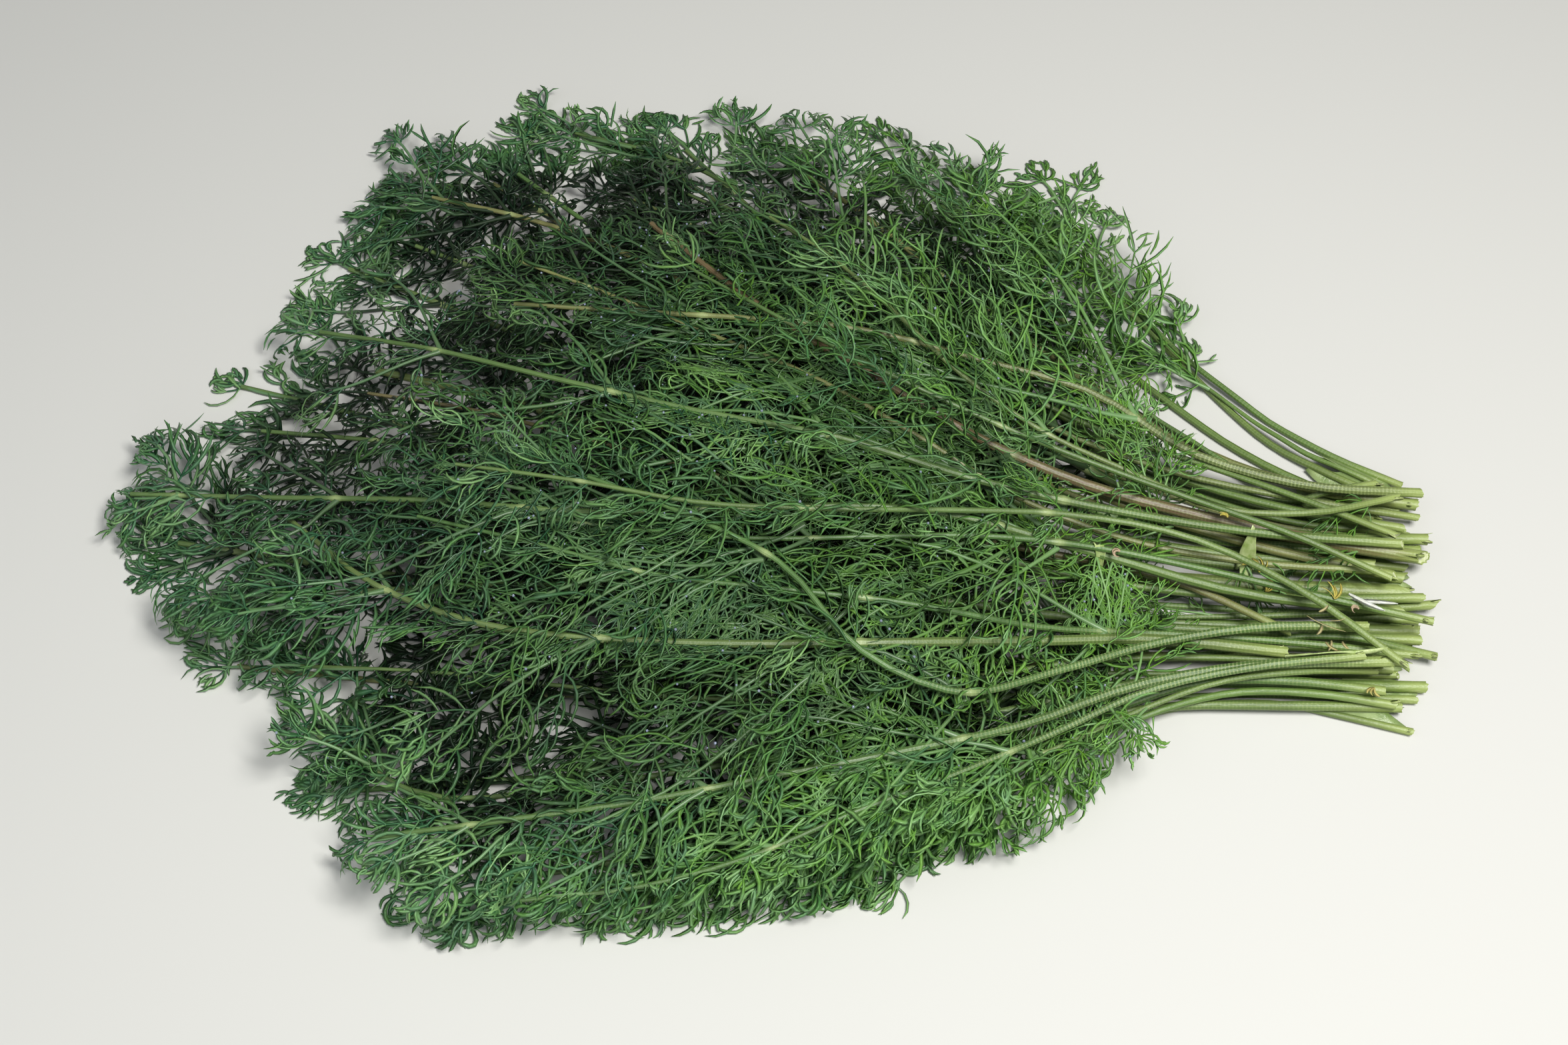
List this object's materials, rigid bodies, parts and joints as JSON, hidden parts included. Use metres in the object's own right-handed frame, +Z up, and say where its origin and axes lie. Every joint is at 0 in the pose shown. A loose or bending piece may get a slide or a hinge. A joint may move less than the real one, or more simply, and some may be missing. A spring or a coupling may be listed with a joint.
{
  "type": "dill bunch",
  "caption": "Loose bunch of cut dill lying on its side: bare stalks at one end that fan out into a mound of feathery fronds.",
  "frame": {"origin": "on the surface the bunch lies on, under the middle of its outline", "axes": "+X towards the cut ends of the stalks, the tips towards -X; +Z up from the surface; +Y across the bunch, to the side where the fan opens furthest"},
  "size_m": [0.3493, 0.2685, 0.0527],
  "materials": {
    "green_stem_and_fronds": "soft, slightly waxy plant skin: green stalk, bluish green fronds",
    "tan_stem_and_fronds": "soft plant skin, the stalk faded to tan and purplish brown, the fronds green"
  },
  "bodies": {
    "root": {"leafy_stem_01": "green_stem_and_fronds", "leafy_stem_02": "green_stem_and_fronds", "leafy_stem_03": "green_stem_and_fronds", "leafy_stem_04": "tan_stem_and_fronds", "leafy_stem_05": "green_stem_and_fronds", "leafy_stem_06": "green_stem_and_fronds", "leafy_stem_07": "green_stem_and_fronds", "leafy_stem_08": "tan_stem_and_fronds", "leafy_stem_09": "green_stem_and_fronds", "leafy_stem_10": "green_stem_and_fronds", "leafy_stem_11": "green_stem_and_fronds", "leafy_stem_12": "green_stem_and_fronds", "leafy_stem_13": "green_stem_and_fronds", "leafy_stem_14": "green_stem_and_fronds", "leafy_stem_15": "green_stem_and_fronds", "leafy_stem_16": "green_stem_and_fronds", "leafy_stem_17": "green_stem_and_fronds", "leafy_stem_18": "green_stem_and_fronds", "leafy_stem_19": "green_stem_and_fronds", "leafy_stem_20": "tan_stem_and_fronds", "leafy_stem_21": "green_stem_and_fronds", "leafy_stem_22": "green_stem_and_fronds", "leafy_stem_23": "green_stem_and_fronds", "leafy_stem_24": "green_stem_and_fronds", "leafy_stem_25": "green_stem_and_fronds", "leafy_stem_26": "tan_stem_and_fronds", "leafy_stem_27": "tan_stem_and_fronds", "leafy_stem_28": "tan_stem_and_fronds", "leafy_stem_29": "green_stem_and_fronds", "leafy_stem_30": "green_stem_and_fronds", "leafy_stem_31": "green_stem_and_fronds", "leafy_stem_32": "green_stem_and_fronds", "leafy_stem_33": "green_stem_and_fronds", "leafy_stem_34": "tan_stem_and_fronds", "leafy_stem_35": "tan_stem_and_fronds", "leafy_stem_36": "tan_stem_and_fronds", "leafy_stem_37": "green_stem_and_fronds", "leafy_stem_38": "green_stem_and_fronds", "leafy_stem_39": "green_stem_and_fronds", "leafy_stem_40": "green_stem_and_fronds", "leafy_stem_41": "green_stem_and_fronds", "leafy_stem_42": "tan_stem_and_fronds", "leafy_stem_43": "green_stem_and_fronds", "leafy_stem_44": "green_stem_and_fronds", "leafy_stem_45": "green_stem_and_fronds", "leafy_stem_46": "green_stem_and_fronds", "leafy_stem_47": "green_stem_and_fronds", "leafy_stem_48": "green_stem_and_fronds", "leafy_stem_49": "tan_stem_and_fronds", "leafy_stem_50": "green_stem_and_fronds", "leafy_stem_51": "green_stem_and_fronds", "leafy_stem_52": "green_stem_and_fronds", "leafy_stem_53": "green_stem_and_fronds", "leafy_stem_54": "green_stem_and_fronds", "leafy_stem_55": "green_stem_and_fronds", "leafy_stem_56": "green_stem_and_fronds"}
  },
  "joints": []
}
